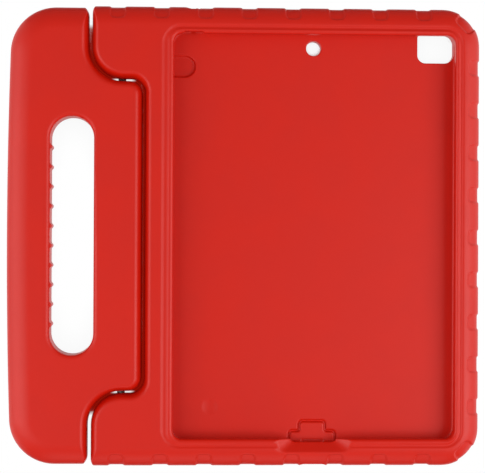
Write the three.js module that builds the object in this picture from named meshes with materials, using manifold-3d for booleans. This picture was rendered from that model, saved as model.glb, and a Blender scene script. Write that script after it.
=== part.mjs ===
// Kids tablet case in moulded foam, with a carrying handle that swings back as a stand.
// It lies on its back: X runs from the handle to the far rim, Y along the tablet,
// and Z from the table up to the screen side. All sizes are in millimetres.

import * as THREE from 'three';
import { mergeVertices } from 'three/addons/utils/BufferGeometryUtils.js';
import Module from 'manifold-3d';

const wasm = await Module();
wasm.setup();

// The tablet that the case is made for, a 10 inch class tablet with a home button
const TABLET_LENGTH = 250.6;
const TABLET_WIDTH = 174.1;
const TABLET_THICKNESS = 7.5;
const TABLET_CLEARANCE = 0.5;
const TABLET_CORNER = 8.5;

// The case body: a tray with a lip over the tablet's edge
const THICKNESS = 22;
const FLOOR = 8;
const LIP_OVER_ENDS = 2;
const LIP_OVER_SIDES = 1;
const LIP_CORNER = 5.5;
const LIP_EDGE_ROUND = 1.2;
const FRAME_WALL = 14.5;
const HINGE_BAR = 16;
const BODY_CORNER = 23;
const BODY_EDGE = 12;
const BEAD_WIDTH = 3;
const GROOVE_WIDTH = 1.2;
const GROOVE_DEPTH = 0.6;

// The two ears that hold the handle, and the notch between them
const EAR_REACH = 32.2;
const EAR_INNER = 95.9;
const EAR_LOBE = 19;
const EAR_CORNER = 6;
const EAR_CORNER_RISE = 1.8;
const NOTCH_CORNER = 8.6;
const EAR_EDGE = 4;

// The rounded dents along the rim
const DENT_WIDTH = 9.5;
const DENT_REACH = 8;
const DENT_DEPTH = 0.7;
const DENT_CORNER = 3;
const DENT_PITCH_ENDS = 26.7;
const DENT_PITCH_SIDE = 25.95;
const CORNER_DENT_WIDTH = 13;
const DENT_FROM_EAR = 12;

// The handle: a wide grip with a tongue between the ears
const HANDLE_LENGTH = 278.6;
const HANDLE_WIDTH = 49.7;
const HANDLE_CORNER = 28;
const HANDLE_CROWN = 1.8;
const HANDLE_EDGE = 14;
const HANDLE_INNER_CORNER = 7.5;
const TONGUE_EDGE = 4.5;
const EAR_GAP = 1.9;
const TONGUE_GAP = 1.3;
const TONGUE_END_GAP = 1.4;
const GRIP_WIDTH = 26.7;
const SLOT_WIDTH = 26.4;
const SLOT_LENGTH = 144.8;
const SLOT_EDGE_ROUND = 2.5;
const RIB_COUNT = 10;
const RIB_PITCH = 12;
const RIB_RADIUS = 1.3;

// The steel rod that the handle turns on
const ROD_DIAMETER = 4.6;
const ROD_CLEARANCE = 0.3;
const ROD_FROM_NOTCH = 14.1;
const ROD_HEIGHT = 6.5;
const ROD_IN_EAR = 22;

// Openings and reliefs in the pocket, placed from the middle of the tablet
const MIC_HOLE_DIAMETER = 9.2;
const MIC_HOLE_FROM_END = 9.2;
const CAMERA_HOLE_WIDTH = 22.6;
const CAMERA_HOLE_LENGTH = 17.6;
const CAMERA_HOLE_CORNER = 5.5;
const JACK_HOLE_DIAMETER = 8;
const JACK_FROM_MIDDLE = 74.2;
const JACK_LIP_CUT_WIDTH = 12.3;
const JACK_LIP_CUT_DEPTH = 1.2;
const PORT_HOLE_WIDTH = 15;
const PORT_HOLE_HEIGHT = 7;
const PORT_HOLE_CORNER = 3;
const PORT_PAD_RISE = 1.2;
const PORT_PAD_NECK = 14.4;
const PORT_PAD_WIDTH = 26.8;
const PORT_PAD_NECK_REACH = 11.7;
const PORT_PAD_REACH = 5.6;
const PORT_PAD_ROUND = 1.6;
const BUTTON_DIP_WIDTH = 44;
const BUTTON_DIP_REACH = 7.6;
const BUTTON_DIP_SLOPE = 6.2;
const BUTTON_DIP_CORNER = 4.9;
const SCOOP_RADIUS = 6.5;
const SCOOP_REACH = 14.8;
const SCOOP_FROM_END = 21.5;
const SCOOP_DEPTH = 2;
const KEY_RELIEF_LENGTH = 28.5;
const KEY_RELIEF_HEIGHT = 5;
const KEY_RELIEF_DEPTH = 1.5;
const KEY_RELIEF_FROM_END = 47.7;

// How finely round shapes are faceted
const ARC_STEPS = 4;
const EDGE_STEPS = 8;
const FLARE_STEPS = 3;
const ROUND_SIDES = 24;

// How far a cutter runs past the faces that it cuts, and how far an outline
// runs on past the edge where the other outline of the piece takes over
const OVERCUT = 1;
const FAR = 60;

// Points nearer to each other than this are one point
const SAME_POINT = 1e-5;

// Places that follow from the sizes, measured from the middle of the pocket
const pocketHalfWidth = TABLET_WIDTH / 2 + TABLET_CLEARANCE;
const pocketHalfLength = TABLET_LENGTH / 2 + TABLET_CLEARANCE;
const pocketTop = FLOOR + TABLET_THICKNESS + TABLET_CLEARANCE;
const lipHalfWidth = pocketHalfWidth - TABLET_CLEARANCE - LIP_OVER_SIDES;
const lipHalfLength = pocketHalfLength - TABLET_CLEARANCE - LIP_OVER_ENDS;
const bodyRight = pocketHalfWidth + FRAME_WALL;
const bodyHalfLength = pocketHalfLength + FRAME_WALL;
const notchWall = -pocketHalfWidth - HINGE_BAR;
const earFace = notchWall - EAR_REACH;
const rodX = notchWall - ROD_FROM_NOTCH;
const tongueEnd = notchWall - TONGUE_END_GAP;
const tongueHalf = EAR_INNER - TONGUE_GAP;
const handleRight = earFace - EAR_GAP;
const handleLeft = handleRight - HANDLE_WIDTH;
const handleHalf = HANDLE_LENGTH / 2;
const slotLeft = handleLeft + GRIP_WIDTH;
const slotMiddle = slotLeft + SLOT_WIDTH / 2;
const boreRadius = ROD_DIAMETER / 2 + ROD_CLEARANCE;

const QUARTER = Math.PI / 2;

// Points of a closed outline, without the repeated ones
function outlinePoints(path) {
  const points = path.getPoints(ARC_STEPS);
  return points.filter((point, i) => {
    const next = points[(i + 1) % points.length];
    return point.distanceTo(next) > SAME_POINT;
  });
}

// An outline moved inward by a distance, or outward where it is negative
function insetOutline(points, distance) {
  return points.map((point, i) => {
    const before = points[(i + points.length - 1) % points.length];
    const after = points[(i + 1) % points.length];
    const into = point.clone().sub(before).normalize();
    const out = after.clone().sub(point).normalize();
    const normalIn = new THREE.Vector2(-into.y, into.x);
    const normalOut = new THREE.Vector2(-out.y, out.x);
    const along = normalIn.clone().add(normalOut);
    const share = distance / (1 + normalIn.dot(normalOut));
    return point.clone().addScaledVector(along, share);
  });
}

// A closed solid through rings of equal count, from the lowest to the highest
function loft(rings) {
  const count = rings[0].points.length;
  const positions = rings.flatMap((ring) => ring.points.flatMap((p) => [p.x, p.y, ring.z]));
  const faces = [];
  for (let level = 0; level + 1 < rings.length; level += 1) {
    for (let i = 0; i < count; i += 1) {
      const next = (i + 1) % count;
      const low = level * count;
      const high = low + count;
      faces.push(low + i, low + next, high + next);
      faces.push(low + i, high + next, high + i);
    }
  }
  const top = (rings.length - 1) * count;
  const floor = THREE.ShapeUtils.triangulateShape(rings[0].points, []);
  const ceiling = THREE.ShapeUtils.triangulateShape(rings[rings.length - 1].points, []);
  floor.forEach(([a, b, c]) => faces.push(c, b, a));
  ceiling.forEach(([a, b, c]) => faces.push(top + a, top + b, top + c));
  const geometry = new THREE.BufferGeometry();
  geometry.setAttribute('position', new THREE.Float32BufferAttribute(positions, 3));
  geometry.setIndex(faces);
  return geometry;
}

// A slab whose side is a half ellipse: `edge` wide on plan, and half the slab high
function roundedSlab(points, edge, low, high) {
  const rings = [];
  for (let step = 0; step <= EDGE_STEPS; step += 1) {
    const angle = (step / EDGE_STEPS - 0.5) * Math.PI;
    rings.push({
      points: insetOutline(points, edge * (1 - Math.cos(angle))),
      z: (low + high) / 2 + ((high - low) / 2) * Math.sin(angle),
    });
  }
  return loft(rings);
}

// A cutter that widens at its top, and at its foot too where `both` is set,
// so that the edge that it leaves is rounded
function flaredCutter(points, round, low, high, both) {
  const flare = [];
  for (let step = 0; step <= FLARE_STEPS; step += 1) {
    const angle = (step / FLARE_STEPS) * QUARTER;
    flare.push({ grow: round * (1 - Math.cos(angle)), rise: round * (1 - Math.sin(angle)) });
  }
  const upper = flare.map(({ grow, rise }) => ({ points: insetOutline(points, -grow), z: high - rise }));
  upper.push({ points: insetOutline(points, -round), z: high + OVERCUT });
  if (!both) return loft([{ points, z: low }, ...upper]);
  const lower = flare.map(({ grow, rise }) => ({ points: insetOutline(points, -grow), z: low + rise }));
  lower.push({ points: insetOutline(points, -round), z: low - OVERCUT });
  return loft([...lower.reverse(), ...upper]);
}

// A straight prism over an outline
function prism(points, low, high) {
  return loft([{ points, z: low }, { points, z: high }]);
}

function roundedRectangle(halfWidth, halfLength, corner, x = 0, y = 0) {
  const path = new THREE.Path();
  path.absarc(x + halfWidth - corner, y - halfLength + corner, corner, -QUARTER, 0);
  path.absarc(x + halfWidth - corner, y + halfLength - corner, corner, 0, QUARTER);
  path.absarc(x - halfWidth + corner, y + halfLength - corner, corner, QUARTER, 2 * QUARTER);
  path.absarc(x - halfWidth + corner, y - halfLength + corner, corner, 2 * QUARTER, 3 * QUARTER);
  path.closePath();
  return outlinePoints(path);
}

// A round bar along Y
function barAlongY(radius, length, x, y, z) {
  const bar = new THREE.CylinderGeometry(radius, radius, length, ROUND_SIDES);
  return bar.translate(x, y, z);
}

function solid(geometry) {
  const bare = geometry.clone();
  bare.deleteAttribute('normal');
  bare.deleteAttribute('uv');
  const merged = mergeVertices(bare, SAME_POINT);
  return new wasm.Manifold(new wasm.Mesh({
    numProp: 3,
    vertProperties: new Float32Array(merged.attributes.position.array),
    triVerts: new Uint32Array(merged.index.array),
  }));
}

function cut(stock, cutters) {
  return cutters.reduce((left, cutter) => left.subtract(solid(cutter)), stock);
}

function join(pieces) {
  return pieces.slice(1).reduce((whole, piece) => whole.add(solid(piece)), solid(pieces[0]));
}

function meshFrom(name, shape, material) {
  const { vertProperties, triVerts } = shape.getMesh();
  const geometry = new THREE.BufferGeometry();
  geometry.setAttribute('position', new THREE.BufferAttribute(new Float32Array(vertProperties), 3));
  geometry.setIndex(new THREE.BufferAttribute(new Uint32Array(triVerts), 1));
  geometry.computeVertexNormals();
  const mesh = new THREE.Mesh(geometry, material);
  mesh.name = name;
  return mesh;
}

// Outline of the body's far side and ends, run on past the ears' faces
function bodyOutline() {
  const path = new THREE.Path();
  const cornerX = bodyRight - BODY_CORNER;
  const cornerY = bodyHalfLength - BODY_CORNER;
  path.moveTo(earFace - FAR, bodyHalfLength);
  path.lineTo(earFace - FAR, -bodyHalfLength);
  path.absarc(cornerX, -cornerY, BODY_CORNER, -QUARTER, 0);
  path.absarc(cornerX, cornerY, BODY_CORNER, 0, QUARTER);
  path.closePath();
  return outlinePoints(path);
}

// Outline of the body's handle side: ear, notch, ear
function earAndNotchOutline() {
  const path = new THREE.Path();
  const rim = bodyHalfLength + EAR_CORNER_RISE;
  const lobeX = earFace + EAR_LOBE;
  const lobeY = EAR_INNER + EAR_LOBE;
  const cornerX = earFace + EAR_CORNER;
  const cornerY = rim - EAR_CORNER;
  const notchX = notchWall - NOTCH_CORNER;
  const notchY = EAR_INNER - NOTCH_CORNER;
  path.moveTo(bodyRight + FAR, -rim);
  path.lineTo(bodyRight + FAR, rim);
  path.absarc(cornerX, cornerY, EAR_CORNER, QUARTER, 2 * QUARTER);
  path.absarc(lobeX, lobeY, EAR_LOBE, 2 * QUARTER, 3 * QUARTER);
  path.absarc(notchX, notchY, NOTCH_CORNER, QUARTER, 0, true);
  path.absarc(notchX, -notchY, NOTCH_CORNER, 0, -QUARTER, true);
  path.absarc(lobeX, -lobeY, EAR_LOBE, QUARTER, 2 * QUARTER);
  path.absarc(cornerX, -cornerY, EAR_CORNER, 2 * QUARTER, 3 * QUARTER);
  path.closePath();
  return outlinePoints(path);
}

// One dent as a mark with a rounded inner end, at a place on the rim
function dent(width, x, y, turn) {
  const path = new THREE.Path();
  const half = width / 2;
  const cornerX = DENT_CORNER - DENT_REACH;
  const cornerY = half - DENT_CORNER;
  path.absarc(cornerX, cornerY, DENT_CORNER, QUARTER, 2 * QUARTER);
  path.absarc(cornerX, -cornerY, DENT_CORNER, 2 * QUARTER, 3 * QUARTER);
  path.lineTo(DENT_REACH, -half);
  path.lineTo(DENT_REACH, half);
  path.closePath();
  const block = prism(outlinePoints(path), -OVERCUT, THICKNESS + OVERCUT);
  return block.rotateZ(turn).translate(x, y, 0);
}

// All dents, cut only a skin deep: the body's own shape, drawn in, is left standing
function rimDents() {
  const dents = [];
  const firstX = earFace + DENT_FROM_EAR;
  const lastX = bodyRight - BODY_CORNER;
  const firstStep = Math.ceil(firstX / DENT_PITCH_ENDS - 0.5);
  for (let step = firstStep; (step + 0.5) * DENT_PITCH_ENDS < lastX; step += 1) {
    const x = (step + 0.5) * DENT_PITCH_ENDS;
    dents.push(dent(DENT_WIDTH, x, bodyHalfLength, QUARTER));
    dents.push(dent(DENT_WIDTH, x, -bodyHalfLength, -QUARTER));
  }
  const lastStep = Math.floor((bodyHalfLength - BODY_CORNER - DENT_WIDTH / 2) / DENT_PITCH_SIDE);
  for (let step = -lastStep; step <= lastStep; step += 1) {
    dents.push(dent(DENT_WIDTH, bodyRight, step * DENT_PITCH_SIDE, 0));
  }
  const cornerX = bodyRight - BODY_CORNER * (1 - Math.SQRT1_2);
  const cornerY = bodyHalfLength - BODY_CORNER * (1 - Math.SQRT1_2);
  dents.push(dent(CORNER_DENT_WIDTH, cornerX, cornerY, QUARTER / 2));
  dents.push(dent(CORNER_DENT_WIDTH, cornerX, -cornerY, -QUARTER / 2));
  const core = roundedSlab(
    insetOutline(bodyOutline(), DENT_DEPTH),
    BODY_EDGE,
    DENT_DEPTH,
    THICKNESS - DENT_DEPTH,
  );
  return join(dents).subtract(solid(core));
}

// The thin groove that sets the bead along the lip apart from the frame
function lipGroove() {
  const ring = (offset) => roundedRectangle(
    lipHalfWidth + offset,
    lipHalfLength + offset,
    LIP_CORNER + offset,
  );
  const low = THICKNESS - GROOVE_DEPTH;
  const high = THICKNESS + OVERCUT;
  const outer = solid(prism(ring(BEAD_WIDTH + GROOVE_WIDTH), low, high));
  return outer.subtract(solid(prism(ring(BEAD_WIDTH), low - OVERCUT, high + OVERCUT)));
}

// The dip in the lip that leaves the home button clear
function buttonDip() {
  const near = -lipHalfLength + BUTTON_DIP_SLOPE;
  const ring = (slope) => {
    const outer = -lipHalfLength - BUTTON_DIP_REACH + slope;
    const halfLength = (near - outer) / 2;
    return roundedRectangle(
      BUTTON_DIP_WIDTH / 2 - slope,
      halfLength,
      BUTTON_DIP_CORNER - slope / 2,
      0,
      outer + halfLength,
    );
  };
  const foot = ring(BUTTON_DIP_SLOPE);
  return loft([
    { points: foot, z: pocketTop - OVERCUT },
    { points: foot, z: pocketTop },
    { points: ring(0), z: THICKNESS },
    { points: ring(0), z: THICKNESS + OVERCUT },
  ]);
}

// The low stepped pad on the pocket floor in front of the charging port
function portPad() {
  const path = new THREE.Path();
  const wall = -pocketHalfLength - OVERCUT;
  const shoulder = -pocketHalfLength + PORT_PAD_REACH;
  const tip = -pocketHalfLength + PORT_PAD_NECK_REACH;
  const neck = PORT_PAD_NECK / 2;
  const side = PORT_PAD_WIDTH / 2;
  const round = PORT_PAD_ROUND;
  path.moveTo(-side, wall);
  path.lineTo(side, wall);
  path.absarc(side - round, shoulder - round, round, 0, QUARTER);
  path.absarc(neck + round, shoulder + round, round, 3 * QUARTER, 2 * QUARTER, true);
  path.absarc(neck - round, tip - round, round, 0, QUARTER);
  path.absarc(round - neck, tip - round, round, QUARTER, 2 * QUARTER);
  path.absarc(-neck - round, shoulder + round, round, 0, -QUARTER, true);
  path.absarc(round - side, shoulder - round, round, QUARTER, 2 * QUARTER);
  path.closePath();
  return prism(outlinePoints(path), FLOOR - OVERCUT, FLOOR + PORT_PAD_RISE);
}

// The round-ended finger scoop in the floor beside the handle
function floorScoop() {
  const path = new THREE.Path();
  const y = pocketHalfLength - SCOOP_FROM_END;
  const middle = -pocketHalfWidth + SCOOP_REACH - SCOOP_RADIUS;
  path.absarc(middle, y, SCOOP_RADIUS, -QUARTER, QUARTER);
  path.lineTo(-pocketHalfWidth, y + SCOOP_RADIUS);
  path.lineTo(-pocketHalfWidth, y - SCOOP_RADIUS);
  path.closePath();
  return prism(outlinePoints(path), FLOOR - SCOOP_DEPTH, FLOOR + OVERCUT);
}

// Ways out of the pocket: through the floor and through the two end walls
function pocketOpenings() {
  const micY = pocketHalfLength - TABLET_CLEARANCE - MIC_HOLE_FROM_END;
  const mic = new THREE.CylinderGeometry(
    MIC_HOLE_DIAMETER / 2,
    MIC_HOLE_DIAMETER / 2,
    FLOOR + 2 * OVERCUT,
    ROUND_SIDES,
  );
  mic.rotateX(QUARTER).translate(0, micY, FLOOR / 2);
  const camera = prism(
    roundedRectangle(
      CAMERA_HOLE_WIDTH / 2,
      CAMERA_HOLE_LENGTH / 2,
      CAMERA_HOLE_CORNER,
      pocketHalfWidth - TABLET_CLEARANCE - CAMERA_HOLE_WIDTH / 2,
      pocketHalfLength - TABLET_CLEARANCE - CAMERA_HOLE_LENGTH / 2,
    ),
    -OVERCUT,
    FLOOR + OVERCUT,
  );
  const tunnelLength = FRAME_WALL + 2 * OVERCUT;
  const tunnelY = pocketHalfLength + FRAME_WALL / 2;
  const plugHeight = FLOOR + TABLET_THICKNESS / 2;
  const jack = barAlongY(JACK_HOLE_DIAMETER / 2, tunnelLength, -JACK_FROM_MIDDLE, tunnelY, plugHeight);
  const jackLipCut = prism(
    roundedRectangle(
      JACK_LIP_CUT_WIDTH / 2,
      JACK_LIP_CUT_DEPTH + OVERCUT,
      JACK_LIP_CUT_DEPTH,
      -JACK_FROM_MIDDLE,
      lipHalfLength - OVERCUT,
    ),
    pocketTop - OVERCUT,
    THICKNESS + OVERCUT,
  );
  const port = prism(
    roundedRectangle(PORT_HOLE_WIDTH / 2, PORT_HOLE_HEIGHT / 2, PORT_HOLE_CORNER),
    -tunnelLength / 2,
    tunnelLength / 2,
  );
  port.rotateX(QUARTER).translate(0, -tunnelY, plugHeight);
  return [mic, camera, jack, jackLipCut, port];
}

// The shallow relief in the far wall beside the side keys
function keyRelief() {
  const relief = new THREE.BoxGeometry(
    2 * KEY_RELIEF_DEPTH,
    KEY_RELIEF_LENGTH,
    KEY_RELIEF_HEIGHT,
  );
  const y = pocketHalfLength - KEY_RELIEF_FROM_END;
  return relief.translate(pocketHalfWidth, y, FLOOR + TABLET_THICKNESS / 2);
}

// The body: one foam moulding with the tablet pocket, the lip and the two ears
function caseBody() {
  const stock = solid(roundedSlab(bodyOutline(), BODY_EDGE, 0, THICKNESS))
    .intersect(solid(roundedSlab(earAndNotchOutline(), EAR_EDGE, 0, THICKNESS)))
    .subtract(rimDents())
    .subtract(lipGroove());
  const opening = flaredCutter(
    roundedRectangle(lipHalfWidth, lipHalfLength, LIP_CORNER),
    LIP_EDGE_ROUND,
    FLOOR,
    THICKNESS,
    false,
  );
  const pocket = prism(
    roundedRectangle(pocketHalfWidth, pocketHalfLength, TABLET_CORNER + TABLET_CLEARANCE),
    FLOOR,
    pocketTop,
  );
  const sockets = [EAR_INNER, -EAR_INNER].map((y) => {
    const length = 2 * ROD_IN_EAR;
    return barAlongY(boreRadius, length, rodX, y, ROD_HEIGHT);
  });
  const hollow = cut(stock, [opening, pocket, buttonDip(), floorScoop(), keyRelief()]);
  const padded = hollow.add(solid(portPad()));
  return cut(padded, [...pocketOpenings(), ...sockets]);
}

// Outline of the handle's outer side, run on past the end of the tongue
function handleOutline() {
  const path = new THREE.Path();
  const edge = handleLeft + HANDLE_CROWN;
  const cornerX = edge + HANDLE_CORNER;
  const cornerY = handleHalf - HANDLE_CORNER;
  const crownRadius = (cornerY ** 2 + HANDLE_CROWN ** 2) / (2 * HANDLE_CROWN);
  const crownAngle = Math.asin(cornerY / crownRadius);
  path.moveTo(cornerX, -handleHalf);
  path.lineTo(tongueEnd + FAR, -handleHalf);
  path.lineTo(tongueEnd + FAR, handleHalf);
  path.absarc(cornerX, cornerY, HANDLE_CORNER, QUARTER, 2 * QUARTER);
  path.absarc(handleLeft + crownRadius, 0, crownRadius, Math.PI - crownAngle, Math.PI + crownAngle);
  path.absarc(cornerX, -cornerY, HANDLE_CORNER, 2 * QUARTER, 3 * QUARTER);
  path.closePath();
  return outlinePoints(path);
}

// Outline of the handle's body side: the tongue and the two hollows round the ears
function tongueOutline() {
  const path = new THREE.Path();
  const rim = handleHalf + EAR_CORNER_RISE;
  const hollow = EAR_LOBE + (EAR_GAP + TONGUE_GAP) / 2;
  const hollowX = handleRight + hollow;
  const hollowY = tongueHalf + hollow;
  const cornerX = handleRight - HANDLE_INNER_CORNER;
  const cornerY = rim - HANDLE_INNER_CORNER;
  const tipX = tongueEnd - NOTCH_CORNER;
  const tipY = tongueHalf - NOTCH_CORNER;
  path.moveTo(handleLeft - FAR, rim);
  path.lineTo(handleLeft - FAR, -rim);
  path.absarc(cornerX, -cornerY, HANDLE_INNER_CORNER, -QUARTER, 0);
  path.absarc(hollowX, -hollowY, hollow, 2 * QUARTER, QUARTER, true);
  path.absarc(tipX, -tipY, NOTCH_CORNER, -QUARTER, 0);
  path.absarc(tipX, tipY, NOTCH_CORNER, 0, QUARTER);
  path.absarc(hollowX, hollowY, hollow, 3 * QUARTER, 2 * QUARTER, true);
  path.absarc(cornerX, cornerY, HANDLE_INNER_CORNER, 0, QUARTER);
  path.closePath();
  return outlinePoints(path);
}

// The small ribs inside the slot, where the fingers close on the grip
function gripRibs() {
  const height = THICKNESS - 2 * SLOT_EDGE_ROUND;
  const ribs = [];
  for (let i = 0; i < RIB_COUNT; i += 1) {
    const rib = new THREE.CylinderGeometry(RIB_RADIUS, RIB_RADIUS, height, ROUND_SIDES / 2);
    const y = (i - (RIB_COUNT - 1) / 2) * RIB_PITCH;
    ribs.push(rib.rotateX(QUARTER).translate(slotLeft, y, THICKNESS / 2));
  }
  return join(ribs);
}

// The handle: one foam moulding with the finger slot and the tongue
function carryHandle() {
  const slot = roundedRectangle(SLOT_WIDTH / 2, SLOT_LENGTH / 2, SLOT_WIDTH / 2, slotMiddle);
  const stock = solid(roundedSlab(handleOutline(), HANDLE_EDGE, 0, THICKNESS))
    .intersect(solid(roundedSlab(tongueOutline(), TONGUE_EDGE, 0, THICKNESS)));
  const slotCutter = flaredCutter(slot, SLOT_EDGE_ROUND, 0, THICKNESS, true);
  const bore = barAlongY(boreRadius, 2 * EAR_INNER, rodX, 0, ROD_HEIGHT);
  return cut(stock, [slotCutter, bore]).add(gripRibs());
}

// The rod runs through the tongue, and its ends sit in blind sockets in the ears
function hingeRod() {
  const length = 2 * (EAR_INNER + ROD_IN_EAR - ROD_CLEARANCE);
  return barAlongY(ROD_DIAMETER / 2, length, rodX, 0, ROD_HEIGHT);
}

const foamRed = { color: 0xc92f24, roughness: 0.62, metalness: 0 };
const bodyFoam = new THREE.MeshStandardMaterial(foamRed);
const handleFoam = new THREE.MeshStandardMaterial(foamRed);
const rodSteel = new THREE.MeshStandardMaterial({ color: 0x7d7672, roughness: 0.35, metalness: 1 });

const tabletCase = new THREE.Group();
tabletCase.add(meshFrom('case_body', caseBody(), bodyFoam));
tabletCase.add(meshFrom('carry_handle', carryHandle(), handleFoam));
tabletCase.add(meshFrom('hinge_rod', solid(hingeRod()), rodSteel));

// The origin is under the middle of the whole case
tabletCase.position.x = -(bodyRight + handleLeft) / 2;

export default tabletCase;
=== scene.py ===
"""Looks of the kids tablet case: the foam body, the carrying handle and the rod between them."""
import math

import bmesh
import bpy
from mathutils import Euler, Matrix, Vector


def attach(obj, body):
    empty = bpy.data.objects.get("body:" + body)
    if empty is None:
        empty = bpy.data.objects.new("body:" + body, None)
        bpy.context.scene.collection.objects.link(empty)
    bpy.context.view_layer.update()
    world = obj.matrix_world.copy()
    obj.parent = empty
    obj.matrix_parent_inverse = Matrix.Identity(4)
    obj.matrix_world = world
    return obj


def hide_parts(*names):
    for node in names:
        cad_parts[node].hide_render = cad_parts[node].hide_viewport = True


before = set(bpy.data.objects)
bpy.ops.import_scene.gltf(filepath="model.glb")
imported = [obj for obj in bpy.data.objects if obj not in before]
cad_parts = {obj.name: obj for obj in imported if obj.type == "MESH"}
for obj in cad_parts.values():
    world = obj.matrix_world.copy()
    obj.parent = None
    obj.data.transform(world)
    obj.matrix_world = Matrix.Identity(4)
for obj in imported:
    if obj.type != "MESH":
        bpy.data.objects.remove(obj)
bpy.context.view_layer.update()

MM = 0.001
THICKNESS = 22
BODY_RIGHT = 144.7
BODY_HALF_LENGTH = 140.3
BODY_CORNER = 23
BODY_EDGE = 12
EAR_FACE = -93.1
NOTCH_WALL = -60.9
EAR_INNER = 95.9
EAR_LOBE = 19
EAR_CORNER = 6
EAR_CORNER_RISE = 1.8
NOTCH_CORNER = 8.6
EAR_EDGE = 4
PAST = 60
SAME_PLACE = 0.02
DOUBLES_APART = 0.001
SHARP_ANGLE = 0.5
FLAT_ANGLE = 0.001
SQUARE_ON = 0.9
RIM_STEPS = 20
ARC_STEPS = 16


def work_on(piece):
    bpy.ops.object.select_all(action="DESELECT")
    piece.select_set(True)
    bpy.context.view_layer.objects.active = piece


def add_block(name, low, high):
    """A block between two corners, in millimetres, ready to be shaped."""
    bpy.ops.object.select_all(action="DESELECT")
    middle = [(a + b) / 2 * MM for a, b in zip(low, high)]
    bpy.ops.mesh.primitive_cube_add(size=1, location=middle)
    block = bpy.context.object
    block.name = name
    block.scale = [(b - a) * MM for a, b in zip(low, high)]
    bpy.ops.object.transform_apply(location=True, rotation=True, scale=True)
    return block


def open_mesh(piece, kind):
    """Opens a piece for editing by vertex, edge or face, with nothing selected."""
    work_on(piece)
    bpy.ops.object.mode_set(mode="EDIT")
    bpy.ops.mesh.select_mode(type=kind)
    bpy.ops.mesh.select_all(action="DESELECT")
    return bmesh.from_edit_mesh(piece.data)


def close_mesh():
    """Merges what lies together, turns the faces outwards and ends the editing."""
    bpy.ops.mesh.select_all(action="SELECT")
    bpy.ops.mesh.remove_doubles(threshold=DOUBLES_APART * MM)
    bpy.ops.mesh.normals_make_consistent(inside=False)
    bpy.ops.object.mode_set(mode="OBJECT")


def round_edges(piece, along, places, radius, steps=ARC_STEPS):
    """Rounds the edges that run along one axis (0, 1 or 2) through the places, or all of them."""
    mesh = open_mesh(piece, "EDGE")
    across = [axis for axis in range(3) if axis != along]
    for edge in mesh.edges:
        a, b = (vert.co / MM for vert in edge.verts)
        if any(abs(a[axis] - b[axis]) > SAME_PLACE for axis in across):
            continue
        if len(edge.link_faces) != 2 or edge.calc_face_angle(0) < SHARP_ANGLE:
            continue
        here = [a[axis] for axis in across]
        if places is None or any(math.dist(here, place) < SAME_PLACE for place in places):
            edge.select_set(True)
    bpy.ops.mesh.bevel(offset=radius * MM, segments=steps, affect="EDGES", clamp_overlap=False)
    close_mesh()


def round_rims(piece, radius, levels, steps, inside=None):
    """Rounds the rims of the flat faces at the given heights, all round or in one region."""
    mesh = open_mesh(piece, "EDGE")
    for edge in mesh.edges:
        a, b = (vert.co / MM for vert in edge.verts)
        level = any(max(abs(a.z - z), abs(b.z - z)) < SAME_PLACE for z in levels)
        if not level or len(edge.link_faces) != 2 or edge.calc_face_angle(0) < SHARP_ANGLE:
            continue
        if inside is None or inside((a + b) / 2):
            edge.select_set(True)
    bpy.ops.mesh.bevel(offset=radius * MM, segments=steps, affect="EDGES", clamp_overlap=False)
    close_mesh()


def drop_flat_edges(piece):
    """Takes out the edges that lie in a flat face."""
    open_mesh(piece, "EDGE")
    bpy.ops.mesh.select_all(action="SELECT")
    bpy.ops.mesh.dissolve_limited(angle_limit=FLAT_ANGLE)
    close_mesh()


def bullnose(piece, edge):
    """Rounds a slab that is twice `edge` high to a half round, then presses it to its height."""
    round_rims(piece, edge, (0, 2 * edge), RIM_STEPS)
    open_mesh(piece, "VERT")
    bpy.ops.mesh.select_all(action="SELECT")
    bpy.ops.transform.resize(value=(1, 1, THICKNESS / (2 * edge)), center_override=(0, 0, 0))
    close_mesh()


def cut_across(piece, axis, places):
    """Cuts a piece through on planes across an axis, and keeps both sides."""
    for place in places:
        open_mesh(piece, "FACE")
        bpy.ops.mesh.select_all(action="SELECT")
        point = [place * MM if i == axis else 0 for i in range(3)]
        normal = [1 if i == axis else 0 for i in range(3)]
        bpy.ops.mesh.bisect(plane_co=point, plane_no=normal)
        bpy.ops.object.mode_set(mode="OBJECT")


def pick_faces(piece, wanted):
    """Opens a piece and selects the faces wanted, by their middle in millimetres and their normal."""
    mesh = open_mesh(piece, "FACE")
    for face in mesh.faces:
        if wanted(face.calc_center_median() / MM, face.normal):
            face.select_set(True)


def pull_faces(piece, wanted, move):
    """Extrudes the wanted faces by a move in millimetres."""
    pick_faces(piece, wanted)
    bpy.ops.mesh.extrude_region_move(
        TRANSFORM_OT_translate={"value": [distance * MM for distance in move]}
    )
    close_mesh()


def press(piece, tool, operation="DIFFERENCE"):
    """Presses one shape into another, or adds it, or keeps what they share."""
    work_on(piece)
    step = piece.modifiers.new("mould_tool", "BOOLEAN")
    step.operation = operation
    step.solver = "MANIFOLD"
    step.object = tool
    bpy.ops.object.modifier_apply(modifier=step.name)
    bpy.data.objects.remove(tool, do_unlink=True)


def body_slab(reach):
    """The far side and ends of the body, run on past the ears."""
    slab = add_block(
        "Body_Slab",
        (EAR_FACE - PAST, -BODY_HALF_LENGTH + reach, 0),
        (BODY_RIGHT - reach, BODY_HALF_LENGTH - reach, 2 * BODY_EDGE),
    )
    corners = [(BODY_RIGHT - reach, side * (BODY_HALF_LENGTH - reach)) for side in (1, -1)]
    round_edges(slab, 2, corners, BODY_CORNER - reach)
    bullnose(slab, BODY_EDGE)
    return slab


case_body = body_slab(0)
case_body.name = "Foam_Body"

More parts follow.
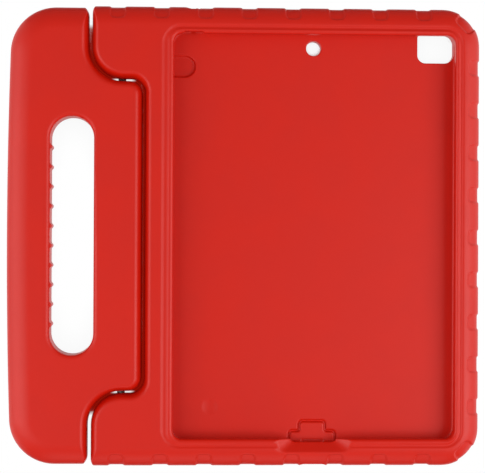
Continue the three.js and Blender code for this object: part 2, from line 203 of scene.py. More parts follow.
ear_rim = BODY_HALF_LENGTH + EAR_CORNER_RISE
ears = add_block("Ears", (NOTCH_WALL, -ear_rim, 0), (BODY_RIGHT + PAST, ear_rim, 2 * EAR_EDGE))
cut_across(ears, 1, (-EAR_INNER, EAR_INNER))
pull_faces(
    ears,
    lambda place, normal: normal.x < -SQUARE_ON and abs(place.y) > EAR_INNER,
    (EAR_FACE - NOTCH_WALL, 0, 0),
)
drop_flat_edges(ears)
for ear_edges, ear_radius in (
    ([(EAR_FACE, side * EAR_INNER) for side in (1, -1)], EAR_LOBE),
    ([(EAR_FACE, side * ear_rim) for side in (1, -1)], EAR_CORNER),
    ([(NOTCH_WALL, side * EAR_INNER) for side in (1, -1)], NOTCH_CORNER),
):
    round_edges(ears, 2, ear_edges, ear_radius)
bullnose(ears, EAR_EDGE)
press(case_body, ears, "INTERSECT")

# The rounded dents along the rim, which give the hand a hold. They are pressed in a skin deep,
# each one a mark with rounded corners that starts on the top, runs over the rim and ends underneath.
DENT_WIDTH = 9.5
DENT_REACH = 8
DENT_DEPTH = 0.7
DENT_CORNER = 3
DENT_CORNER_STEPS = 10
DENT_PITCH_ENDS = 26.7
DENT_PITCH_SIDE = 25.95
CORNER_DENT_WIDTH = 13
DENT_FROM_EAR = 12
POCKET_X = 42.65
OVERCUT = 1


def join_pieces(pieces):
    work_on(pieces[0])
    for piece in pieces[1:]:
        piece.select_set(True)
    bpy.ops.object.join()
    return pieces[0]


def dent(width, x, y, turn):
    half = width / 2
    mark = add_block("Dent", (-DENT_REACH, -half, -OVERCUT), (DENT_REACH, half, THICKNESS + OVERCUT))
    corners = [(-DENT_REACH, side * half) for side in (1, -1)]
    round_edges(mark, 2, corners, DENT_CORNER, DENT_CORNER_STEPS)
    mark.rotation_euler = (0, 0, turn)
    mark.location = (x * MM, y * MM, 0)
    work_on(mark)
    bpy.ops.object.transform_apply(location=True, rotation=True, scale=True)
    return mark


dents = []
dent_step = math.ceil((EAR_FACE + DENT_FROM_EAR - POCKET_X) / DENT_PITCH_ENDS - 0.5)
while POCKET_X + (dent_step + 0.5) * DENT_PITCH_ENDS < BODY_RIGHT - BODY_CORNER:
    dent_x = POCKET_X + (dent_step + 0.5) * DENT_PITCH_ENDS
    for side in (1, -1):
        dents.append(dent(DENT_WIDTH, dent_x, side * BODY_HALF_LENGTH, side * math.pi / 2))
    dent_step += 1
side_dents = math.floor((BODY_HALF_LENGTH - BODY_CORNER - DENT_WIDTH / 2) / DENT_PITCH_SIDE)
for row in range(-side_dents, side_dents + 1):
    dents.append(dent(DENT_WIDTH, BODY_RIGHT, row * DENT_PITCH_SIDE, 0))
corner_inset = BODY_CORNER * (1 - math.sqrt(0.5))
for side in (1, -1):
    corner_y = side * (BODY_HALF_LENGTH - corner_inset)
    dents.append(dent(CORNER_DENT_WIDTH, BODY_RIGHT - corner_inset, corner_y, side * math.pi / 4))
all_dents = join_pieces(dents)

dent_floor = body_slab(DENT_DEPTH)
work_on(dent_floor)
dent_floor.scale.z = (THICKNESS - 2 * DENT_DEPTH) / THICKNESS
dent_floor.location.z = DENT_DEPTH * MM
bpy.ops.object.transform_apply(location=True, rotation=True, scale=True)
press(all_dents, dent_floor)
press(case_body, all_dents)

# The lip's opening with its rounded edge, the pocket under the lip that the tablet springs into,
# and the groove that sets the soft bead round the opening apart from the frame.
POCKET_FLOOR = 8
POCKET_TOP = 16
POCKET_HALF_WIDTH = 87.55
POCKET_HALF_LENGTH = 125.8
POCKET_CORNER = 9
LIP_HALF_WIDTH = 86.05
LIP_HALF_LENGTH = 123.3
LIP_CORNER = 5.5
LIP_EDGE_ROUND = 1.8
LIP_ROUND_STEPS = 5
NEAR_RIM = 0.5
GROOVE_HALF_WIDTH = 1.35
GROOVE_DEPTH = 0.8
GROOVE_FROM_LIP = 3.9
GROOVE_FROM_LIP_LEFT = 4.9
GROOVE_FROM_LIP_RIGHT = 3.4
LEFT_GROOVE_HALF_WIDTH = 2.4
LEFT_GROOVE_DEPTH = 0.6
GROOVE_CORNER_STEPS = 12
GROOVE_ROUND_STEPS = 8


def pocket_block(name, half_width, half_length, corner, low, high):
    block = add_block(
        name,
        (POCKET_X - half_width, -half_length, low),
        (POCKET_X + half_width, half_length, high),
    )
    round_edges(block, 2, None, corner)
    return block


press(case_body, pocket_block(
    "Lip_Opening",
    LIP_HALF_WIDTH,
    LIP_HALF_LENGTH,
    LIP_CORNER,
    POCKET_FLOOR,
    THICKNESS + OVERCUT,
))
round_rims(
    case_body,
    LIP_EDGE_ROUND,
    (THICKNESS,),
    LIP_ROUND_STEPS,
    lambda place: abs(place.x - POCKET_X) < LIP_HALF_WIDTH + NEAR_RIM
    and abs(place.y) < LIP_HALF_LENGTH + NEAR_RIM,
)
press(case_body, pocket_block(
    "Pocket",
    POCKET_HALF_WIDTH,
    POCKET_HALF_LENGTH,
    POCKET_CORNER,
    POCKET_FLOOR,
    POCKET_TOP,
))


def groove_tool(half_width, depth):
    """Radius of the round tool, and its height over the face, for a groove this wide and deep."""
    radius = (half_width**2 + depth**2) / (2 * depth)
    return radius, radius - depth


groove_left = POCKET_X - LIP_HALF_WIDTH - GROOVE_FROM_LIP_LEFT
groove_right = POCKET_X + LIP_HALF_WIDTH + GROOVE_FROM_LIP_RIGHT
groove_end = LIP_HALF_LENGTH + GROOVE_FROM_LIP
groove_corner = LIP_CORNER + GROOVE_FROM_LIP
groove = add_block(
    "Groove",
    (groove_left, -groove_end, THICKNESS),
    (groove_right, groove_end, THICKNESS + OVERCUT),
)
round_edges(groove, 2, None, groove_corner, GROOVE_CORNER_STEPS)
pick_faces(groove, lambda place, normal: place.z > THICKNESS + SAME_PLACE)
bpy.ops.mesh.delete(type="FACE")
bpy.ops.mesh.select_all(action="SELECT")
bpy.ops.mesh.delete(type="ONLY_FACE")
bpy.ops.object.mode_set(mode="OBJECT")
work_on(groove)
bpy.ops.object.convert(target="CURVE")
groove.data.bevel_depth = MM
groove.data.bevel_resolution = GROOVE_ROUND_STEPS
for point in groove.data.splines[0].points:
    past_left = min(1, (point.co.x / MM - groove_left) / groove_corner)
    half_width = LEFT_GROOVE_HALF_WIDTH + (GROOVE_HALF_WIDTH - LEFT_GROOVE_HALF_WIDTH) * past_left
    depth = LEFT_GROOVE_DEPTH + (GROOVE_DEPTH - LEFT_GROOVE_DEPTH) * past_left
    point.radius, groove_rise = groove_tool(half_width, depth)
    point.co.z = (THICKNESS + groove_rise) * MM
bpy.ops.object.convert(target="MESH")
press(case_body, groove)

# What the tablet's own parts need: the dip by the home button, the scoop and the pad in the floor,
# the relief by the side keys, and the holes for camera, microphone, headphone jack and plug.
DIP_HALF_WIDTH = 22
DIP_NEAR = -117.1
DIP_FAR = -130.9
DIP_SLOPE = 6.2
DIP_CORNER = 4.9
DIP_END_SLOPE = 9
DIP_CORNER_STEPS = 8
DIP_FLARE = 3.5
DIP_FLARE_DEPTH = 0.6
SCOOP_RADIUS = 6.5
SCOOP_REACH = 14.8
SCOOP_Y = 104.3
SCOOP_DEPTH = 2
ROUND_END_SHORT = 0.05
KEY_RELIEF_Y = 78.1
KEY_RELIEF_LENGTH = 28.5
KEY_RELIEF_HEIGHT = 5
KEY_RELIEF_DEPTH = 1.5
PAD_RISE = 1.2
PAD_WIDTH = 26.8
PAD_NECK = 14.4
PAD_REACH = 5.6
PAD_NECK_REACH = 11.7
PAD_ROUND = 1.6
PAD_ROUND_STEPS = 6
PAD_LEAST_ROUND = 0.2
PAD_MOAT_WIDTH = 1.6
PAD_MOAT_DEPTH = 1.2
MIC_RADIUS = 4.6
MIC_Y = 116.1
JACK_RADIUS = 4
JACK_X = -31.55
JACK_CUT_HALF_WIDTH = 6.15
JACK_CUT_INTO_POCKET = 3.2
JACK_CUT_REACH = 1.2
JACK_CUT_CORNER = 1.2
JACK_CUT_CORNER_STEPS = 6
PLUG_HEIGHT = 11.75
PORT_HALF_WIDTH = 7.5
PORT_HALF_HEIGHT = 3.5
PORT_CORNER = 3
CAMERA_LOW = (107.1, 107.7)
CAMERA_HIGH = (129.7, 125.3)
CAMERA_CORNERS = (
    ((CAMERA_LOW[0], CAMERA_HIGH[1]), 1.8),
    ((CAMERA_LOW[0], CAMERA_LOW[1]), 5),
    ((CAMERA_HIGH[0], CAMERA_LOW[1]), 6),
    ((CAMERA_HIGH[0], CAMERA_HIGH[1]), 5.5),
)
GATE_MARK = (-20.4, -104.8)
GATE_MARK_RADIUS = 5
GATE_MARK_DEPTH = 0.5
GATE_MARK_REACH = 8
GATE_MARK_TOP = 0.5
GATE_TOOL_SIDES = 128
ROD_X = -75
ROD_HEIGHT = 6.5
ROD_IN_EAR = 22
BORE_RADIUS = 2.6


def facing_up(place, normal):
    return normal.z > SQUARE_ON


def facing_down(place, normal):
    return normal.z < -SQUARE_ON


dip = add_block(
    "Button_Dip",
    (POCKET_X - DIP_HALF_WIDTH, DIP_FAR, POCKET_TOP),
    (POCKET_X + DIP_HALF_WIDTH, DIP_NEAR, THICKNESS),
)
round_edges(dip, 2, None, DIP_CORNER, DIP_CORNER_STEPS)
dip_middle = (POCKET_X * MM, DIP_NEAR * MM, 0)
dip_length = DIP_NEAR - DIP_FAR
pick_faces(dip, facing_down)
bpy.ops.transform.resize(
    value=(1 - DIP_END_SLOPE / DIP_HALF_WIDTH, 1 - DIP_SLOPE / dip_length, 1),
    center_override=dip_middle,
)
close_mesh()
pull_faces(dip, facing_down, (0, 0, -OVERCUT))
pull_faces(dip, facing_up, (0, 0, OVERCUT))
pick_faces(dip, facing_up)
bpy.ops.transform.resize(
    value=(1 + DIP_FLARE / DIP_HALF_WIDTH, 1 + DIP_FLARE / dip_length, 1),
    center_override=dip_middle,
)
close_mesh()
dip.location.z = -DIP_FLARE_DEPTH * MM
work_on(dip)
bpy.ops.object.transform_apply(location=True, rotation=True, scale=True)
press(case_body, dip)

scoop_end = POCKET_X - POCKET_HALF_WIDTH + SCOOP_REACH
scoop = add_block(
    "Floor_Scoop",
    (POCKET_X - POCKET_HALF_WIDTH, SCOOP_Y - SCOOP_RADIUS, POCKET_FLOOR - SCOOP_DEPTH),
    (scoop_end, SCOOP_Y + SCOOP_RADIUS, POCKET_FLOOR + OVERCUT),
)
scoop_corners = [(scoop_end, SCOOP_Y + side * SCOOP_RADIUS) for side in (1, -1)]
round_edges(scoop, 2, scoop_corners, SCOOP_RADIUS - ROUND_END_SHORT)
press(case_body, scoop)

key_x = POCKET_X + POCKET_HALF_WIDTH
press(case_body, add_block(
    "Key_Relief",
    (key_x - OVERCUT, KEY_RELIEF_Y - KEY_RELIEF_LENGTH / 2, PLUG_HEIGHT - KEY_RELIEF_HEIGHT / 2),
    (key_x + KEY_RELIEF_DEPTH, KEY_RELIEF_Y + KEY_RELIEF_LENGTH / 2, PLUG_HEIGHT + KEY_RELIEF_HEIGHT / 2),
))


def port_pad(name, grow, low, high):
    """The stepped outline of the pad, drawn out all round and between two heights."""
    width, neck = PAD_WIDTH / 2 + grow, PAD_NECK / 2 + grow
    shoulder = -POCKET_HALF_LENGTH + PAD_REACH + grow
    tip = -POCKET_HALF_LENGTH + PAD_NECK_REACH + grow
    wall = -POCKET_HALF_LENGTH - OVERCUT
    shape = add_block(name, (POCKET_X - width, wall, low), (POCKET_X + width, shoulder, high))
    cut_across(shape, 0, (POCKET_X - neck, POCKET_X + neck))
    pull_faces(
        shape,
        lambda place, normal: normal.y > SQUARE_ON and abs(place.x - POCKET_X) < neck,
        (0, tip - shoulder, 0),
    )
    drop_flat_edges(shape)
    for half, y, radius in (
        (width, shoulder, PAD_ROUND + grow),
        (neck, tip, PAD_ROUND + grow),
        (neck, shoulder, max(PAD_ROUND - grow, PAD_LEAST_ROUND)),
    ):
        corners = [(POCKET_X + side * half, y) for side in (1, -1)]
        round_edges(shape, 2, corners, radius, PAD_ROUND_STEPS)
    return shape


press(case_body, port_pad(
    "Port_Pad_Moat",
    PAD_MOAT_WIDTH,
    POCKET_FLOOR - PAD_MOAT_DEPTH,
    POCKET_FLOOR + OVERCUT,
))
press(case_body, port_pad(
    "Port_Pad",
    0,
    POCKET_FLOOR - PAD_MOAT_DEPTH - OVERCUT,
    POCKET_FLOOR + PAD_RISE,
), "UNION")


def add_bar(name, radius, start, end, sides=64):
    """A round bar between two points, in millimetres."""
    bpy.ops.object.select_all(action="DESELECT")
    start, end = Vector(start) * MM, Vector(end) * MM
    run = end - start
    bpy.ops.mesh.primitive_cylinder_add(
        vertices=sides,
        radius=radius * MM,
        depth=run.length,
        location=(start + end) / 2,
        rotation=run.to_track_quat("Z", "Y").to_euler(),
    )
    bar = bpy.context.object
    bar.name = name
    bpy.ops.object.transform_apply(location=True, rotation=True, scale=True)
    return bar


hole_foot, hole_top = -OVERCUT, POCKET_FLOOR + OVERCUT
press(case_body, add_bar(
    "Mic_Hole",
    MIC_RADIUS,
    (POCKET_X, MIC_Y, hole_foot),
    (POCKET_X, MIC_Y, hole_top),
))

camera_hole = add_block("Camera_Hole", (*CAMERA_LOW, hole_foot), (*CAMERA_HIGH, hole_top))
for camera_corner, camera_radius in CAMERA_CORNERS:
    round_edges(camera_hole, 2, [camera_corner], camera_radius)
press(case_body, camera_hole)

wall_start = POCKET_HALF_LENGTH - OVERCUT
wall_end = BODY_HALF_LENGTH + OVERCUT
press(case_body, add_bar(
    "Jack_Hole",
    JACK_RADIUS,
    (JACK_X, wall_start, PLUG_HEIGHT),
    (JACK_X, wall_end, PLUG_HEIGHT),
))
jack_lip_cut = add_block(
    "Jack_Lip_Cut",
    (JACK_X - JACK_CUT_HALF_WIDTH, LIP_HALF_LENGTH - JACK_CUT_INTO_POCKET, POCKET_TOP - OVERCUT),
    (JACK_X + JACK_CUT_HALF_WIDTH, LIP_HALF_LENGTH + JACK_CUT_REACH, THICKNESS + OVERCUT),
)
round_edges(jack_lip_cut, 2, None, JACK_CUT_CORNER, JACK_CUT_CORNER_STEPS)
press(case_body, jack_lip_cut)

port_hole = add_block(
    "Port_Hole",
    (POCKET_X - PORT_HALF_WIDTH, -wall_end, PLUG_HEIGHT - PORT_HALF_HEIGHT),
    (POCKET_X + PORT_HALF_WIDTH, -wall_start, PLUG_HEIGHT + PORT_HALF_HEIGHT),
)
round_edges(port_hole, 1, None, PORT_CORNER)
press(case_body, port_hole)

for side in (1, -1):
    press(case_body, add_bar(
        "Rod_Socket",
        BORE_RADIUS,
        (ROD_X, side * (EAR_INNER - ROD_IN_EAR), ROD_HEIGHT),
        (ROD_X, side * (EAR_INNER + ROD_IN_EAR), ROD_HEIGHT),
    ))

bpy.ops.object.select_all(action="DESELECT")
gate_radius, gate_rise = groove_tool(GATE_MARK_RADIUS, GATE_MARK_DEPTH)
bpy.ops.mesh.primitive_uv_sphere_add(
    segments=GATE_TOOL_SIDES,
    ring_count=2 * GATE_TOOL_SIDES,
    radius=gate_radius * MM,
    location=(GATE_MARK[0] * MM, GATE_MARK[1] * MM, (POCKET_FLOOR + gate_rise) * MM),
)
gate_tool = bpy.context.object
bpy.ops.object.transform_apply(location=True, rotation=True, scale=True)
press(gate_tool, add_block(
    "Gate_Mark_Reach",
    (GATE_MARK[0] - GATE_MARK_REACH, GATE_MARK[1] - GATE_MARK_REACH, POCKET_FLOOR - OVERCUT),
    (GATE_MARK[0] + GATE_MARK_REACH, GATE_MARK[1] + GATE_MARK_REACH, POCKET_FLOOR + GATE_MARK_TOP),
), "INTERSECT")
press(case_body, gate_tool)

SKIN_CELL = 0.5
SKIN_SOFTENING = 5
BODY_TRIANGLES = 186000


def mould_skin(piece, triangles):
    """Gives a moulding its skin: one even surface, softened at every edge, then thinned."""
    work_on(piece)
    skin = piece.modifiers.new("mould_skin", "REMESH")
    skin.mode = "VOXEL"
    skin.voxel_size = SKIN_CELL * MM
    bpy.ops.object.modifier_apply(modifier=skin.name)
    soft = piece.modifiers.new("soft_edges", "SMOOTH")
    soft.factor = 0.5
    soft.iterations = SKIN_SOFTENING
    bpy.ops.object.modifier_apply(modifier=soft.name)
    piece.data.calc_loop_triangles()
    thin = piece.modifiers.new("even_mesh", "DECIMATE")
    thin.ratio = min(1, triangles / len(piece.data.loop_triangles))
    bpy.ops.object.modifier_apply(modifier=thin.name)
    bpy.ops.object.shade_smooth()


mould_skin(case_body, BODY_TRIANGLES)

FOAM_RED = (0.692, 0.0102, 0.0005)
FOAM_RED_CLOUDED = (0.668, 0.0092, 0.0005)
FOAM_ROUGHNESS = 0.38
FOAM_GLOSS = 0.4
CLOUD_SCALE = 38
CELL_SCALE = 1400
GRAIN_SCALE = 2600
SPECKLE = 0.12
CLOUD_ROUGHNESS = 0.08
CELL_HEIGHT = 0.4
SKIN_BUMP = 0.5
SKIN_RELIEF = 0.06


def add_foam_skin_group():
    """The skin of moulded foam: a fine grain, closed cells that just show, and faint clouding."""
    group = bpy.data.node_groups.new("Foam_Skin", "ShaderNodeTree")
    face = group.interface
    face.new_socket("Colour", in_out="INPUT", socket_type="NodeSocketColor")
    face.new_socket("Clouded Colour", in_out="INPUT", socket_type="NodeSocketColor")
    face.new_socket("Roughness", in_out="INPUT", socket_type="NodeSocketFloat")
    face.new_socket("Colour", in_out="OUTPUT", socket_type="NodeSocketColor")
    face.new_socket("Roughness", in_out="OUTPUT", socket_type="NodeSocketFloat")
    face.new_socket("Height", in_out="OUTPUT", socket_type="NodeSocketFloat")
    nodes, links = group.nodes, group.links
    given = nodes.new("NodeGroupInput")
    made = nodes.new("NodeGroupOutput")
    place = nodes.new("ShaderNodeTexCoord")

    clouds = nodes.new("ShaderNodeTexNoise")
    clouds.inputs["Scale"].default_value = CLOUD_SCALE
    clouds.inputs["Detail"].default_value = 4
    links.new(place.outputs["Object"], clouds.inputs["Vector"])
    cells = nodes.new("ShaderNodeTexVoronoi")
    cells.inputs["Scale"].default_value = CELL_SCALE
    links.new(place.outputs["Object"], cells.inputs["Vector"])
    grain = nodes.new("ShaderNodeTexNoise")
    grain.inputs["Scale"].default_value = GRAIN_SCALE
    grain.inputs["Detail"].default_value = 3
    links.new(place.outputs["Object"], grain.inputs["Vector"])

    speckle = nodes.new("ShaderNodeMapRange")
    speckle.inputs["From Min"].default_value = 0.35
    speckle.inputs["From Max"].default_value = 0.65
    speckle.inputs["To Min"].default_value = -SPECKLE
    speckle.inputs["To Max"].default_value = SPECKLE
    links.new(grain.outputs["Fac"], speckle.inputs["Value"])
    cloudiness = nodes.new("ShaderNodeMapRange")
    cloudiness.inputs["From Min"].default_value = 0.35
    cloudiness.inputs["From Max"].default_value = 0.65
    links.new(clouds.outputs["Fac"], cloudiness.inputs["Value"])
    share = nodes.new("ShaderNodeMath")
    share.operation = "ADD"
    share.use_clamp = True
    links.new(cloudiness.outputs["Result"], share.inputs[0])
    links.new(speckle.outputs["Result"], share.inputs[1])
    tint = nodes.new("ShaderNodeMix")
    tint.data_type = "RGBA"
    links.new(share.outputs["Value"], tint.inputs[0])
    links.new(given.outputs["Colour"], tint.inputs[6])
    links.new(given.outputs["Clouded Colour"], tint.inputs[7])
    links.new(tint.outputs[2], made.inputs["Colour"])

    wear = nodes.new("ShaderNodeMath")
    wear.operation = "MULTIPLY_ADD"
    wear.inputs[1].default_value = CLOUD_ROUGHNESS
    links.new(clouds.outputs["Fac"], wear.inputs[0])
    links.new(given.outputs["Roughness"], wear.inputs[2])
    links.new(wear.outputs["Value"], made.inputs["Roughness"])

    height = nodes.new("ShaderNodeMath")
    height.operation = "MULTIPLY_ADD"
    height.inputs[1].default_value = CELL_HEIGHT
    links.new(cells.outputs["Distance"], height.inputs[0])
    links.new(grain.outputs["Fac"], height.inputs[2])
    links.new(height.outputs["Value"], made.inputs["Height"])
    return group


foam_skin = add_foam_skin_group()


def foam_finish(name, colour, clouded, roughness):
    """A foam material with the moulded skin and its own red."""
    finish = bpy.data.materials.new(name)
    finish.use_nodes = True
    nodes, links = finish.node_tree.nodes, finish.node_tree.links
    surface = nodes["Principled BSDF"]
    surface.inputs["Specular IOR Level"].default_value = FOAM_GLOSS
    skin = nodes.new("ShaderNodeGroup")
    skin.node_tree = foam_skin
    skin.inputs["Colour"].default_value = (*colour, 1)
    skin.inputs["Clouded Colour"].default_value = (*clouded, 1)
    skin.inputs["Roughness"].default_value = roughness
    links.new(skin.outputs["Colour"], surface.inputs["Base Color"])
    links.new(skin.outputs["Roughness"], surface.inputs["Roughness"])
    bump = nodes.new("ShaderNodeBump")
    bump.inputs["Strength"].default_value = SKIN_BUMP
    bump.inputs["Distance"].default_value = SKIN_RELIEF * MM
    links.new(skin.outputs["Height"], bump.inputs["Height"])
    links.new(bump.outputs["Normal"], surface.inputs["Normal"])
    return finish


body_red = foam_finish("Body_Foam_Red", FOAM_RED, FOAM_RED_CLOUDED, FOAM_ROUGHNESS)
case_body.data.materials.clear()
case_body.data.materials.append(body_red)
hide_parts("case_body")
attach(case_body, "body")

# Carrying handle: a wide grip with a finger slot, and a tongue that fits between the ears.
# It is a second foam moulding of the same red, with a bore along the tongue for the rod,
# and it swings back on the rod to prop the case up.
HANDLE_LEFT = -144.7
HANDLE_RIGHT = -95
HANDLE_HALF = 139.3
HANDLE_CORNER = 28
HANDLE_CORNER_STEPS = 24
HANDLE_CROWN = 1.8
CROWN_STEPS = 8
HANDLE_EDGE = 14
HANDLE_INNER_CORNER = 7.5
TONGUE_END = -62.3
TONGUE_HALF = 94.6
TONGUE_HOLLOW = 20.6
TONGUE_EDGE = 4.5
SLOT_LEFT = -118
SLOT_RIGHT = -91.6
SLOT_HALF = 72.4
SLOT_END_STEPS = 24
SLOT_EDGE_ROUND = 2.5
SLOT_EDGE_STEPS = 7
RIB_COUNT = 10
RIB_PITCH = 12
RIB_RADIUS = 1.3
RIB_SIDES = 32
HANDLE_TRIANGLES = 120000

handle = add_block(
    "Carry_Handle",
    (HANDLE_LEFT + HANDLE_CROWN, -HANDLE_HALF, 0),
    (TONGUE_END + PAST, HANDLE_HALF, 2 * HANDLE_EDGE),
)
crown_half = HANDLE_HALF - HANDLE_CORNER
crown_cuts = [crown_half * step / CROWN_STEPS for step in range(-CROWN_STEPS, CROWN_STEPS + 1)]
cut_across(handle, 1, crown_cuts)
for cut in crown_cuts[1:-1]:
    handle_mesh = open_mesh(handle, "VERT")
    for vert in handle_mesh.verts:
        at_edge = vert.co.x < (HANDLE_LEFT + HANDLE_CROWN + NEAR_RIM) * MM
        if at_edge and abs(vert.co.y - cut * MM) < SAME_PLACE * MM:
            vert.select_set(True)
    bulge = HANDLE_CROWN * (1 - (cut / crown_half) ** 2)
    bpy.ops.transform.translate(value=(-bulge * MM, 0, 0))
    close_mesh()
drop_flat_edges(handle)
round_edges(
    handle,
    2,
    [(HANDLE_LEFT + HANDLE_CROWN, side * HANDLE_HALF) for side in (1, -1)],
    HANDLE_CORNER,
    HANDLE_CORNER_STEPS,
)
bullnose(handle, HANDLE_EDGE)

tongue_rim = HANDLE_HALF + EAR_CORNER_RISE
tongue = add_block(
    "Tongue",
    (HANDLE_LEFT - PAST, -tongue_rim, 0),
    (HANDLE_RIGHT, tongue_rim, 2 * TONGUE_EDGE),
)
cut_across(tongue, 1, (-TONGUE_HALF, TONGUE_HALF))
pull_faces(
    tongue,
    lambda place, normal: normal.x > SQUARE_ON and abs(place.y) < TONGUE_HALF,
    (TONGUE_END - HANDLE_RIGHT, 0, 0),
)
drop_flat_edges(tongue)
for tongue_edges, tongue_radius in (
    ([(HANDLE_RIGHT, side * TONGUE_HALF) for side in (1, -1)], TONGUE_HOLLOW),
    ([(HANDLE_RIGHT, side * tongue_rim) for side in (1, -1)], HANDLE_INNER_CORNER),
    ([(TONGUE_END, side * TONGUE_HALF) for side in (1, -1)], NOTCH_CORNER),
):
    round_edges(tongue, 2, tongue_edges, tongue_radius)
bullnose(tongue, TONGUE_EDGE)
press(handle, tongue, "INTERSECT")

slot = add_block(
    "Finger_Slot",
    (SLOT_LEFT, -SLOT_HALF, -OVERCUT),
    (SLOT_RIGHT, SLOT_HALF, THICKNESS + OVERCUT),
)
round_edges(slot, 2, None, (SLOT_RIGHT - SLOT_LEFT) / 2 - ROUND_END_SHORT, SLOT_END_STEPS)
press(handle, slot)
round_rims(
    handle,
    SLOT_EDGE_ROUND,
    (0, THICKNESS),
    SLOT_EDGE_STEPS,
    lambda place: SLOT_LEFT - NEAR_RIM < place.x < SLOT_RIGHT + NEAR_RIM
    and abs(place.y) < SLOT_HALF + NEAR_RIM,
)
for rib in range(RIB_COUNT):
    rib_y = (rib - (RIB_COUNT - 1) / 2) * RIB_PITCH
    press(handle, add_bar(
        "Grip_Rib",
        RIB_RADIUS,
        (SLOT_LEFT, rib_y, SLOT_EDGE_ROUND),
        (SLOT_LEFT, rib_y, THICKNESS - SLOT_EDGE_ROUND),
        RIB_SIDES,
    ), "UNION")
press(handle, add_bar(
    "Rod_Bore",
    BORE_RADIUS,
    (ROD_X, -EAR_INNER, ROD_HEIGHT),
    (ROD_X, EAR_INNER, ROD_HEIGHT),
))
mould_skin(handle, HANDLE_TRIANGLES)

handle_red = foam_finish("Handle_Foam_Red", FOAM_RED, FOAM_RED_CLOUDED, FOAM_ROUGHNESS)
handle.data.materials.clear()
handle.data.materials.append(handle_red)
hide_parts("carry_handle")
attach(handle, "handle")

# Hinge rod: a round steel rod through the tongue, with its ends in blind sockets in the ears.
# It is cut from drawn bar and its ends are chamfered so that it pushes into the foam.
ROD_RADIUS = 2.3
ROD_HALF = 117.6
ROD_SIDES = 96
ROD_CHAMFER = 0.6
ROD_CHAMFER_STEPS = 3
ROD_SMOOTH_ANGLE = 35
DARK_STEEL = (0.27, 0.26, 0.25)
BRIGHT_STEEL = (0.42, 0.41, 0.4)
DRAWN_LINES = (3000, 25, 3000)
SMOOTH_STEEL, ROUGH_STEEL = 0.22, 0.42
LINE_BUMP = 0.3
LINE_RELIEF = 0.02

rod = add_bar(
    "Hinge_Rod",
    ROD_RADIUS,
    (ROD_X, -ROD_HALF, ROD_HEIGHT),
    (ROD_X, ROD_HALF, ROD_HEIGHT),
    ROD_SIDES,
)
rod_mesh = open_mesh(rod, "EDGE")
for edge in rod_mesh.edges:
    if all(abs(abs(vert.co.y) - ROD_HALF * MM) < SAME_PLACE * MM for vert in edge.verts):
        edge.select_set(True)
bpy.ops.mesh.bevel(
    offset=ROD_CHAMFER * MM,
    segments=ROD_CHAMFER_STEPS,
    affect="EDGES",
    clamp_overlap=False,
)
close_mesh()
work_on(rod)
bpy.ops.object.shade_smooth_by_angle(angle=math.radians(ROD_SMOOTH_ANGLE))

rod_steel = bpy.data.materials.new("Rod_Drawn_Steel")
rod_steel.use_nodes = True
rod_nodes, rod_links = rod_steel.node_tree.nodes, rod_steel.node_tree.links
rod_surface = rod_nodes["Principled BSDF"]
rod_surface.inputs["Metallic"].default_value = 1
rod_place = rod_nodes.new("ShaderNodeTexCoord")
rod_stretch = rod_nodes.new("ShaderNodeMapping")
rod_stretch.inputs["Scale"].default_value = DRAWN_LINES
rod_links.new(rod_place.outputs["Object"], rod_stretch.inputs["Vector"])
rod_lines = rod_nodes.new("ShaderNodeTexNoise")
rod_lines.inputs["Scale"].default_value = 1
rod_lines.inputs["Detail"].default_value = 5
rod_links.new(rod_stretch.outputs["Vector"], rod_lines.inputs["Vector"])
rod_tone = rod_nodes.new("ShaderNodeMix")
rod_tone.data_type = "RGBA"
rod_tone.inputs[6].default_value = (*DARK_STEEL, 1)
rod_tone.inputs[7].default_value = (*BRIGHT_STEEL, 1)
rod_links.new(rod_lines.outputs["Fac"], rod_tone.inputs[0])
rod_links.new(rod_tone.outputs[2], rod_surface.inputs["Base Color"])
rod_rough = rod_nodes.new("ShaderNodeMapRange")
rod_rough.inputs["To Min"].default_value = SMOOTH_STEEL
rod_rough.inputs["To Max"].default_value = ROUGH_STEEL
rod_links.new(rod_lines.outputs["Fac"], rod_rough.inputs["Value"])
rod_links.new(rod_rough.outputs["Result"], rod_surface.inputs["Roughness"])
rod_bump = rod_nodes.new("ShaderNodeBump")
rod_bump.inputs["Strength"].default_value = LINE_BUMP
rod_bump.inputs["Distance"].default_value = LINE_RELIEF * MM
rod_links.new(rod_lines.outputs["Fac"], rod_bump.inputs["Height"])
rod_links.new(rod_bump.outputs["Normal"], rod_surface.inputs["Normal"])
rod.data.materials.clear()
rod.data.materials.append(rod_steel)
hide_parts("hinge_rod")
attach(rod, "body")

# Floor: the plain white table of the studio, under the case and level with its back.
# Seen from above it is white, with a faint painted shade round the case and a painted dark red shade
# where a narrow gap shuts it in.
# From below nothing of it is seen, and light reaches the case's back through it.
FLOOR_SIZE = 6
FLOOR_DROP = 0.1
FLOOR_WHITE = 0.82
FLOOR_NEARNESS = 35
NEARNESS_SAMPLES = 64
SHADE_BY_CASE = 0.93
SHADE_STARTS, SHADE_ENDS = 0.2, 0.5
# Painted shade for the seen floor in the narrow gaps between the foam parts: dark red, as the foam round
# it reddens the shade.
PAINTED_GAP_SHADE = (0.25, 0.005, 0.0015)
SHUT_IN, OPENED_OUT = 0.12, 0.18
GAP_AT_FOOT = (-200, -108)
GAP_AT_HEAD = (128, 200)
GAP_BY_ROD = (-82, -66.5)
GAP_BESIDE_TONGUE = (95.3, 97.5)
GAP_BLEND = 3
TONGUE_BLEND = 1
CONTACT_REACH = 3

